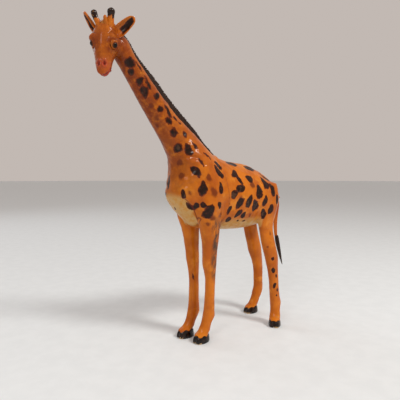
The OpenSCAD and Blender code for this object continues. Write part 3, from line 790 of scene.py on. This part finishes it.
def paint_of(points, normal, tree):
    """The numbers that the painted hide reads at each point."""
    x, f, z = levels_of(points)
    crisp = side_spots(CRISP, 3.0, 5) + [(at(*s[:3]), None, s[3:]) for s in CHEST_SPOTS + [KNEE_MARK]]
    spot = spot_map(points, normal, tree, crisp, CRISP_GROWTH)
    soft = spot_map(points, normal, tree, side_spots(SOFT, 2.5, 6), SOFT_GROWTH, 0.6)
    blush = spot_map(points, normal, tree, side_spots(BLUSH, 2.5, 8), SOFT_GROWTH, 0.7)
    seam, panel, neck = seam_side(points), panel_side(points), neck_side(points)
    front = smoothstep(-9, 9, (f - 97) * 0.8 - (z - 234) * 0.6)
    tone = np.clip(0.68 + 0.4 * smoothstep(0, 60, neck), 0, 1) * (0.55 + 0.45 * front) * smoothstep(-14, 10, neck)
    tone = np.maximum(tone, 0.8 * bell((f - 82) / 26) * bell((z - 188) / 44))
    fade = np.interp(f, [30, 46, 60, 72, 80], [9, 1.2, 2.2, 6, 9])
    cream = np.clip(0.5 - panel / fade / 2, 0, 1) * smoothstep(LEG_TOP - 2, LEG_TOP + 4, z) * smoothstep(-66, -50, f)
    beside_leg = smoothstep(28, 36, f) * smoothstep(67, 59, f) * smoothstep(136, 126, z)
    cream *= 1 - beside_leg * smoothstep(11, 15, np.abs(x))
    # Painted shadow: a faint dark line along the shoulder hide's raised, lapped edge. The chest's line below is the
    # seam's own dark line.
    line = 0.45 * bell(seam / 0.5) * smoothstep(LEG_TOP, LEG_TOP + 4, z) * (neck < 0)
    chest = smoothstep(48, 53, f) * smoothstep(74, 68, f) * (seam > 0)
    line = np.maximum(line, 0.9 * chest * bell(panel / 0.55) * (x > 0))
    rear = smoothstep(-0.4, 0.1, normal[:, 1]) * smoothstep(128, 114, z) * smoothstep(56, 74, z) * (f > 25)
    smear = (1.15 * rear + 0.35 * bell((f - 43) / 8) * bell((z - 128) / 8)) * (x > 0)
    return dict(spot=np.maximum(spot, soft), blush=blush, tone=tone, cream=np.clip(cream, 0, 1), smear=smear,
                line=line, rose=np.zeros(len(points)))


def paint_head(points, paint):
    """The face's own tones in place of the body's, with painted highlights on the forehead and the upper lip."""
    q = in_head(points)
    x, y, z = halves(q)
    above, open_ = lip_height(q)
    line = open_ * bell(above / 0.55) + bell(nostril_gap(q, (1.5, 0.9, 3)) / 0.9)
    # The lid creases get painted shade, dark where the crease is sunk; the mouth's line and the nostrils are dark red
    # paint.
    paint["line"] = np.clip(line + 0.75 * bell(crease_gap(q) / 0.55), 0, 1)
    rose = 0.95 * bell(nostril_gap(q, (2.6, 2.2, 4)) / 1.1) * smoothstep(-3, 0, z)
    # Red paint on the lower lip below the mouth's line; the pink band above the line is part of the upper lip's painted
    # highlight.
    rose += open_ * (0.9 * smoothstep(0.6, -0.4, above) + 0.8 * bell((above - 1) / 0.9))
    paint["rose"] = np.clip(rose + 0.3 * bell((x - 32) / 6) * bell(y / 6), 0, 1)
    # Darker on the lower lip, below the mouth's line.
    paint["smear"] = 0.5 * open_ * smoothstep(-0.3, -1.2, above)
    eye, lid = eye_gap(q), mound((x, y, z), LID_AT, (3, 3, 3))
    paint["tone"] = np.clip(0.62 + 0.35 * bell((eye - 5) / 3) + 0.25 * smoothstep(4, 9, y) - 0.8 * lid, 0, 1)
    # Cream painted highlights on the top of the forehead between the horns and along the upper lip's edge, and a pale
    # rim round part of the eye.
    brow = bell((x + 3) / 3) * bell(y / 3.5) * smoothstep(6, 9, z)
    rim = bell(eye - 6) * smoothstep(2, -2, z - 1)
    paint["cream"] = 0.5 * brow + 0.4 * rim + 0.55 * open_ * bell((above - 1.3) / 0.4)
    paint["blush"][:] = paint["spot"][:] = CLEAR


def shaped_skin(voxel, turns, sides):
    """The smoothed and shaped skin of the whole animal, with edges along the given seams."""
    points, edges, tris = skin_round(BODY_NODES, voxel)
    low = relaxed(points, edges, turns)
    crease = points - low
    place, reach = HAUNCH
    for side in (1, -1):
        gap = (points - np.array(at(side * place[0], *place[1:]))) / reach
        crease *= 1 - bell(0.6 * np.linalg.norm(gap, axis=1))[:, None]
    points = shape_body(low + relaxed(crease, edges, turns), tris)
    for side in sides:
        points, tris = cut(points, tris, side(points))
    return points, tris


def regions(mid):
    """Which places are on the head, the neck, the trunk and each leg."""
    head = head_side(mid) > 0
    neck = (neck_side(mid) > 0) & ~head
    below = (leg_side(mid) > 0) & ~head
    left, front = mid[:, 0] > 0, MID_Y - mid[:, 1] > 0
    legs = {leg: below & (sole_side(mid) > 0) & (left == leg.endswith("left")) & (front == leg.startswith("front"))
            for leg in LEGS}
    return head, neck, ~(head | neck | below), legs


def build_hides():
    """The skin of the whole animal, shaped, cut along its seams and painted, one piece a panel."""
    sides = (seam_side, panel_side, neck_side, head_side, leg_side, sole_side)
    points, tris = shaped_skin(SKIN_VOXEL, RELAX_TURNS, sides)
    normal = normals_of(points, tris)
    tree = BVHTree.FromPolygons(points.tolist(), tris.tolist())
    mid = points[tris].mean(1)
    head, neck, trunk, legs = regions(mid)
    ahead, pale = seam_side(mid) > 0, panel_side(mid) < 0
    chosen = {"torso_hide": trunk & ~ahead & ~pale, "belly_panel": trunk & ~ahead & pale,
              "shoulder_hide": trunk & ahead & ~pale, "chest_panel": trunk & ahead & pale,
              "neck_hide": neck, "head_hide": head, **{f"{leg}_leg_hide": faces for leg, faces in legs.items()}}
    paint = paint_of(points, normal, tree)
    lift = smoothstep(5, 0, seam_side(points)) * LAP * (neck_side(points) < 0)
    for name, faces in chosen.items():
        p, t, rows = part_of(points, tris, faces)
        mine = {key: values[rows] for key, values in paint.items()}
        if name == "shoulder_hide":
            p = p + normal[rows] * lift[rows][:, None]
        if name == "head_hide":
            p, t = halved(p, t)
            p = shape_head(p, t)
            mine = paint_of(p, normals_of(p, t), tree)
            paint_head(p, mine)
        look, slot = (PALE_HIDE, "pale_hide") if name.endswith("panel") else (HIDE, "hide")
        obj = piece("skin_" + name, p, t, look, replaces=[name], slot=slot, **mine)
        shell = obj.modifiers.new("leather", "SOLIDIFY")
        shell.thickness, shell.offset = HIDE_T * MM, -1
    return tree


def capped(points, tris):
    """Triangles with a fan over every open edge, so that they close a solid."""
    edges = {(int(a), int(b)) for t in tris for a, b in ((t[0], t[1]), (t[1], t[2]), (t[2], t[0]))}
    ahead = {b: a for a, b in edges if (b, a) not in edges}
    points, faces = list(map(tuple, points)), tris.tolist()
    while ahead:
        start, here = next(iter(ahead.items()))
        loop = [start]
        while here != start and here in ahead:
            loop.append(here)
            here = ahead[here]
        for v in loop:
            ahead.pop(v, None)
        points.append(tuple(np.mean([points[v] for v in loop], axis=0)))
        faces += [[loop[k - 1], loop[k], len(points) - 1] for k in range(len(loop))]
    return points, faces


def build_cores():
    """The wound paper under the hides: a coarser skin of the same shape, drawn inward."""
    points, tris = shaped_skin(CORE_VOXEL, CORE_TURNS, (neck_side, head_side, leg_side, sole_side))
    head, neck, trunk, legs = regions(points[tris].mean(1))
    points = points - normals_of(points, tris) * CORE_INSET
    chosen = {"head_core": head, "neck_core": neck, "torso_core": trunk,
              **{f"{leg}_leg_core": faces for leg, faces in legs.items()}}
    for name, faces in chosen.items():
        p, t, _ = part_of(points, tris, faces)
        piece("wound_" + name, *capped(p, t), PAPER, replaces=[name], slot="core")


body_tree = build_hides()
build_cores()

# ---- head pieces


def build_horn(name, side, root, splay, stout):
    """A bent stub with a swollen, black-dipped tip."""
    base = sided(side, root) @ turned("X", -splay) @ turned("Y", -HORN_BACK)
    shares = [-0.2, 0, 0.14, 0.3, 0.45, 0.58, 0.7, 0.8, 0.9, 0.96, 1.0]
    widths = [1.15, 1.15, 1.05, 0.98, 0.96, 1.0, 1.1, 1.15, 1.05, 0.72, 0.3]
    path = [base @ Vector((0.5 * math.sin(3 * t), 0.3 * math.sin(4 * t + side), HORN_L * t)) for t in shares]
    sides, rows = 14, len(shares)
    points, faces = tube(path, [(w * stout, w * stout * 0.92) for w in widths], sides)
    dip = [min(1, max(0, (shares[min(i // sides, rows - 1)] - 0.18) / 0.5)) for i in range(rows * sides)] + [0, 1]
    points = [p + 0.35 * noise.noise_vector(p * 0.45) for p in points]
    subdivided(piece("painted_" + name, points, faces, HORN, replaces=[name], slot="hide", dip=dip), 2)


EAR_AT_SHARE = [0, 0.1, 0.2, 0.35, 0.5, 0.65, 0.8, 0.9, 0.95, 0.98, 1]
EAR_HALF = [3.4, 4.6, 5.2, 5.3, 5.0, 4.6, 4.0, 3.3, 2.6, 1.8, 0.6]


def build_ear(name, side, root, lean, turn):
    """A cupped leaf of leather with a rolled rim and a dark painted hollow."""
    base = sided(side, root) @ turned("Y", -HEAD_PITCH) @ turned("X", -lean) @ turned("Z", turn)
    rows, cols = 15, 13
    points, dark = [], []
    for face in (1, -1):
        for i in range(rows):
            t = i / (rows - 1)
            half = float(np.interp(t, EAR_AT_SHARE, EAR_HALF))
            for j in range(cols):
                s = -1 + 2 * j / (cols - 1)
                rim = smoothstep(0.72, 1.0, abs(s))
                cup = -2.4 * (1 - s * s) * math.sin(math.pi * min(1, t + 0.12)) + 0.5
                rolled = float(smoothstep(0.55, 0.8, s) * smoothstep(1.05, 0.9, t))
                thick = 0.7 + 0.3 * rim + 0.75 * rolled
                curl = 0.9 * s * s * math.sin(math.pi * t)
                out = cup + face * thick * (1 - 0.7 * abs(s) ** 6) + curl
                points.append(base @ Vector((out, -s * half, EAR_L * t - 2)))
                inset = min(4.5 * (0.58 - abs(s + 0.17)), 9 * (t - 0.24), 9 * (0.9 - t))
                dark.append(max(-3.0, inset) if face > 0 else -3.0)
    faces = grid_faces(rows, cols, False) + [q[::-1] for q in grid_faces(rows, cols, False, rows * cols)]
    n = rows * cols
    for i in range(rows - 1):
        for j in (0, cols - 1):
            a, b = i * cols + j, (i + 1) * cols + j
            faces.append([a, b, b + n, a + n] if j == 0 else [b, a, a + n, b + n])
    for j in range(cols - 1):
        for i in (0, rows - 1):
            a, b = i * cols + j, i * cols + j + 1
            faces.append([b, a, a + n, b + n] if i == 0 else [a, b, b + n, a + n])
    leather("painted_" + name, name, points, faces, 0.25, spot=dark)


def build_eye(name, side, place):
    """A glass ball with a swollen cornea, drawn in where the lids hide it."""
    frame_at = sided(side, place)
    ball = bmesh.new()
    bmesh.ops.create_icosphere(ball, subdivisions=5, radius=1)
    points, seen = [], []
    for v in ball.verts:
        toward = v.co.normalized().dot(GAZE)
        radius = EYE_R * (1 - 0.4 * float(smoothstep(0.72, 0.45, toward)))
        points.append(frame_at @ (v.co * (radius + 0.25 * float(bell((1 - toward) / 0.18)))))
        seen.append(max(0, toward))
    faces = [[v.index for v in f.verts] for f in ball.faces]
    ball.free()
    if side < 0:
        faces = [f[::-1] for f in faces]
    piece("glass_" + name, points, faces, EYE, replaces=[name], slot="eye", gaze=seen)


def build_lid(name, side, place):
    """Two rolled folds of leather round the eye's opening, thicker above."""
    frame_at = sided(side, place)
    upward = Vector((-0.8, 0, 0.6))
    upward = (upward - GAZE * upward.dot(GAZE)).normalized()
    across = upward.cross(GAZE)
    turns, sides = 40, 10
    points, faces, dark = [], [], []
    for a in around(turns):
        reach = 1 / math.hypot(math.cos(a) / LID_OPEN[0], math.sin(a) / LID_OPEN[1])
        way = across * math.cos(a) + upward * math.sin(a)
        ring = GAZE * math.cos(reach) + way * math.sin(reach)
        fat = 0.5 + 0.62 * max(0, math.sin(a))
        side_way = (way * math.cos(reach) - GAZE * math.sin(reach)).normalized()
        for b in around(sides):
            rise, spread = fat * 0.7 * math.sin(b), fat * 1.7 * (math.cos(b) + 0.85)
            points.append(frame_at @ (ring * (EYE_R - 0.05) + ring * rise + side_way * spread))
            dark.append(0.7 if math.cos(b) < -0.7 else 0.0)
    for i in range(turns):
        for j in range(sides):
            a, b = i * sides, (i + 1) % turns * sides
            quad = [a + j, b + j, b + (j + 1) % sides, a + (j + 1) % sides]
            faces.append(quad if side > 0 else quad[::-1])
    leather("rolled_" + name, name, points, faces, 0.7, line=dark)


def build_nub():
    """A small third nub between the horns."""
    base = HEAD @ Matrix.Translation(NUB_AT) @ turned("Y", -HORN_BACK + 8)
    shares = (-0.2, 0.0, 0.2, 0.45, 0.7, 0.85, 0.95, 1.0)
    path = [base @ Vector((0.3 * math.sin(5 * t), -0.5 * t, NUB_L * t)) for t in shares]
    points, faces = tube(path, [(w, w * 0.9) for w in (2.6, 2.5, 2.3, 2.1, 2.0, 1.8, 1.25, 0.5)])
    points = [p + 0.3 * noise.noise_vector(p * 0.6) for p in points]
    leather("brow_nub", "brow_knob", points, faces, 0.3, 0.3)


for horn_name, pose in HORNS.items():
    build_horn(horn_name, *pose)
for ear_name, pose in EARS.items():
    build_ear(ear_name, *pose)
for word, pose in EYES.items():
    build_eye(word + "_eye", *pose)
    build_lid(word + "_eyelid", *pose)
build_nub()

# ---- hooves


# Rings of a hoof from the sole up: height, size, and how far back the ring stands
HOOF_RINGS = [(0.0, 0.55, 0), (0.0, 0.90, 0), (0.25, 0.965, 0), (1.0, 1.0, 0), (2.6, 1.0, 0.1), (4.6, 0.955, 0.35),
              (6.4, 0.885, 0.8), (7.8, 0.80, 1.1), (8.6, 0.70, 1.3), (8.9, 0.45, 1.3)]


def build_hoof(name):
    """Two claws side by side over one flat sole, open at the toe."""
    centre = middle(name)
    base = Matrix.Translation((centre.x, centre.y, 0)) @ turned("Z", HOOF_TURN[name])
    sides = 56
    points, worn = [], []
    for z, size, back in HOOF_RINGS:
        for a in around(sides):
            from_toe = min(a, 2 * math.pi - a)
            cleft = 1 - (0.30 - 0.02 * z) * float(bell(from_toe / 0.16))
            r = size * cleft * (1 + 0.05 * math.cos(2 * a) + 0.06 * float(bell((from_toe - 0.55) / 0.4)))
            p = base @ Vector((math.sin(a) * HOOF_W / 2 * r, -math.cos(a) * HOOF_L / 2 * r * 0.97 + back, z))
            uneven = 0.12 * noise.noise_vector(p * 0.35) * Vector((1, 1, 0))
            points.append(p + uneven if z > 0.3 else p)
            chipped = from_toe < 0.9 and noise.noise(centre + Vector((a, 0, 0))) > -0.1
            worn.append(float(smoothstep(3.2, 0.2, z)) * (0.75 if chipped else 0.1))
    piece("cloven_" + name, points, barrel_faces(len(HOOF_RINGS), sides), HOOF, replaces=[name], slot="hoof", worn=worn)


for hoof_name in HOOF_TURN:
    build_hoof(hoof_name)

# ---- mane

# The mane's ends on the back of the neck, by level place and height: withers and crown
MANE_ENDS = ((23, 184), (128, 296))
MANE_STEP, MANE_SUNK = 1.15, 1.4        # length of one tooth, and how deep it is set
HAIR_LEVELS = ((0, 1, 1), (0.5, 1.0, 1.0), (0.88, 0.9, 0.85), (1, 0.62, 0.55))  # share of the height, width, length
MANE_AT_SHARE, MANE_RISE = [0, 0.06, 0.3, 0.6, 0.82, 0.9, 1], [1.6, 4.2, 6.4, 6.2, 3.2, 2.2, 2.6]


def ridge_line():
    """Points along the back of the neck, found by rays that slope forward and down, a tooth apart."""
    (f0, z0), (f1, z1) = MANE_ENDS
    way = (at(0, 1, 0) - at(0, 0, 1)).normalized()
    found = []
    for c in np.linspace(f0 + z0, f1 + z1, 400):
        hit = body_tree.ray_cast(at(0, c / 2 - 90, c / 2 + 90), way)
        if hit[0] is not None:
            found.append(np.array(hit[0]))
    found = np.array(found)
    for _ in range(60):
        found[1:-1] = (found[:-2] + 2 * found[1:-1] + found[2:]) / 4
    gone = np.r_[0, np.cumsum(np.linalg.norm(np.diff(found, axis=0), axis=1))]
    places = np.arange(0, gone[-1], MANE_STEP)
    return [Vector([np.interp(g, gone, found[:, k]) for k in range(3)]) for g in places]


def build_mane():
    """A strip of stiff fibre set on edge, cut square and a little ragged."""
    dice = random.Random(11)
    line = ridge_line()
    points, faces = [], []
    total = len(line)
    for i, root in enumerate(line):
        share = i / (total - 1)
        along = (line[min(total - 1, i + 4)] - line[max(0, i - 4)]).normalized()
        away = Vector((0, along.z, -along.y))
        away = away if away.z > 0 else -away
        rise = float(np.interp(share, MANE_AT_SHARE, MANE_RISE)) * dice.uniform(0.92, 1.03)
        lean = along * dice.uniform(0.2, 0.9)
        root = root - away * MANE_SUNK
        wide, long = dice.uniform(0.85, 1.1), MANE_STEP * 0.62
        first = len(points)
        for height, w, l in HAIR_LEVELS:
            level = root + away * height * (rise + MANE_SUNK) + lean * height
            for sx, sl in ((-1, -1), (1, -1), (1, 1), (-1, 1)):
                jog = 0.08 * dice.uniform(-1, 1)
                points.append(level + Vector((sx * wide * w + jog, 0, 0)) + along * sl * long * l)
        for level in range(3):
            a, b = first + 4 * level, first + 4 * level + 4
            faces += [[a + j, a + (j + 1) % 4, b + (j + 1) % 4, b + j] for j in range(4)]
        faces += [[first + 3, first + 2, first + 1, first], [first + 12, first + 13, first + 14, first + 15]]
    obj = piece("mane_strip", points, faces, MANE, replaces=["mane"], slot="mane", smooth=False)
    bevel = obj.modifiers.new("soften", "BEVEL")
    bevel.width, bevel.segments = 0.14 * MM, 1


build_mane()

# ---- tail

# The strap below its loop, and the tuft, in the side view
THONG = [(-75.0, 134), (-73.6, 128), (-72.2, 122), (-71.2, 115), (-71.0, 108), (-71.6, 101), (-72.6, 95), (-73.4, 90)]
TUFT_LINE = [(-73.2, 95), (-74.6, 88), (-77.6, 78), (-81, 67), (-84.2, 58)]


LOOP_R, LOOP_TURNS = 1.35, 12       # the loop round the pin: middle of the leather, and steps
TUFT_STRANDS = 34


def build_thong():
    """A strap of leather looped over the pin, a little twisted below it."""
    points, path, sides = [], [], 12        # path holds places, half widths, half depths and twists
    for k in range(LOOP_TURNS + 1):
        a = math.radians(-50 + 230 * k / LOOP_TURNS)
        path.append((at(0, PIN_F - LOOP_R * math.cos(a), PIN.z + LOOP_R * math.sin(a)), 1.45, 0.42, 0.0))
    for i, (f, z) in enumerate(THONG):
        t = (i + 1) / len(THONG)
        path.append((at(0.25 * math.sin(5 * t), f, z), 2.1 + 0.9 * math.sin(math.pi * t) - 0.5 * t, 0.8 - 0.1 * t,
                     -56 * math.sin(2.2 * t)))
    for i, (p, wide, deep, twist) in enumerate(path):
        way = (path[min(len(path) - 1, i + 1)][0] - path[max(0, i - 1)][0]).normalized()
        side = Matrix.Rotation(math.radians(twist), 3, way) @ ACROSS
        other = way.cross(side).normalized()
        for a in around(sides):
            c, s = math.cos(a), math.sin(a)
            square = max(abs(c), abs(s)) ** -0.55
            points.append(p + side * wide * c * square * 0.86 + other * deep * s * square * 0.9)
    leather("tail_strap", "tail_thong", points, barrel_faces(len(path), sides), 0.0, body="tail", rose=0.25)


def build_tuft():
    """Strands bound together at the top and drawn to a point."""
    dice = random.Random(5)
    points, faces = [], []
    line = [at(0, f, z) for f, z in TUFT_LINE]
    for _ in range(TUFT_STRANDS):
        a, spread = dice.uniform(0, 2 * math.pi), math.sqrt(dice.random())
        length = dice.uniform(0.72, 1.0)
        path, radii = [], []
        for i in range(9):
            t = i / 8
            where = t * length * (len(line) - 1)
            j = min(int(where), len(line) - 2)
            p = line[j].lerp(line[j + 1], where - j)
            out = spread * (0.7 + 1.7 * math.sin(math.pi * min(1, t * 0.9 + 0.08)) ** 0.8) * (1 - 0.55 * t)
            sway = 0.35 * math.sin(3 * t + 7 * spread)
            path.append(p + Vector((math.cos(a) * out * 1.25 + sway * 0.4, math.sin(a) * out, 0)))
            radii.append((0.52 * (1 - t) ** 0.6 + 0.09,) * 2)
        strand, quads = tube(path, radii, 6)
        faces += [[i + len(points) for i in q] for q in quads]
        points += strand
    piece("tail_tassel", points, faces, TUFT, body="tail", replaces=["tail_tuft"], slot="tuft")


def build_dock():
    """A folded tab that comes out of the rump and holds the pin."""
    tip = Vector((0, PIN.y, PIN.z))
    root = tip + Vector((0, -10.5, 3.5))
    rows, sides = 10, 16
    points = []
    for i in range(rows):
        t = i / (rows - 1)
        p = root.lerp(tip, t)
        wide, deep = 4.6 - 1.4 * t, (3.6 - 1.6 * t) * (1 if t < 0.9 else 0.75)
        for a in around(sides):
            groove = 0.35 * float(bell(math.sin(a) / 0.2)) * t
            points.append(p + Vector(((wide - groove) * math.cos(a), 0.9 * t * t * math.sin(a), deep * math.sin(a))))
    leather("folded_dock", "tail_dock", points, barrel_faces(rows, sides), 0.15)


build_dock()
build_thong()
build_tuft()

# ---- CAD nodes that stay

for node_name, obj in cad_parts.items():
    if node_name.endswith("wire") or node_name == "tail_pin":
        obj.data.materials.clear()
        obj.data.materials.append(STEEL)

# ---- stage, light and camera


def floor_look():
    m = Look("pale_floor", 0.55, Specular_IOR_Level=0.25)
    grain = m.noise(60, 3)
    colour = m.mix(m.step(grain, 0.3, 0.7), (0.74, 0.78, 0.80), (0.77, 0.81, 0.83))
    m.raise_by(m.noise(900, 2), 0.02, 0.3)
    return m.done(colour)


def build_floor():
    mesh = bpy.data.meshes.new("studio_floor")
    rings, sides = 24, 64
    points = [(0, 0, 0)]
    for i in range(1, rings + 1):
        r = 12.0 * (i / rings) ** 2
        points += [(r * math.cos(a), r * math.sin(a), 0) for a in around(sides)]
    faces = [[0, 1 + j, 1 + (j + 1) % sides] for j in range(sides)] + grid_faces(rings, sides, True, 1)
    mesh.from_pydata(points, [], faces)
    floor = linked("studio_floor", mesh)
    mesh.materials.append(floor_look())


def area_light(name, place, aim, size, watts, colour):
    data = bpy.data.lights.new(name, "AREA")
    data.shape, data.size, data.energy, data.color = "DISK", size, watts, colour
    lamp = linked(name, data)
    lamp.location = place
    lamp.rotation_euler = (Vector(aim) - Vector(place)).to_track_quat("-Z", "Y").to_euler()


build_floor()
AIM = (0, 0, 0.16)
area_light("key", (0.95, 0.35, 1.15), AIM, 0.35, 12, (1.0, 0.97, 0.93))
area_light("front", (0.70, -1.25, 1.05), AIM, 0.6, 5, (1.0, 0.98, 0.95))
area_light("fill", (-1.2, -0.2, 1.0), AIM, 0.9, 3, (0.93, 0.96, 1.0))

world = bpy.data.worlds.new("soft_room")
bpy.context.scene.world = world
world.use_nodes = True
world.node_tree.nodes["Background"].inputs["Color"].default_value = (0.72, 0.645, 0.60, 1)
world.node_tree.nodes["Background"].inputs["Strength"].default_value = 0.75

# The eye stands in front and to the giraffe's left, a little above its elbows
CAMERA_X, CAMERA_F, CAMERA_Z = 320.3, 284.3, 166.1
LOOK_YAW, LOOK_DOWN = 52.74, 3.54
camera_data = bpy.data.cameras.new("camera")
camera_data.lens = camera_data.sensor_width = 36
camera_data.clip_start = 0.01
camera = linked("camera", camera_data)
camera.location = at(CAMERA_X, CAMERA_F, CAMERA_Z) * MM
camera.rotation_euler = (math.radians(90 - LOOK_DOWN), 0, math.radians(LOOK_YAW))
bpy.context.scene.camera = camera
bpy.context.scene.view_settings.view_transform = "Standard"
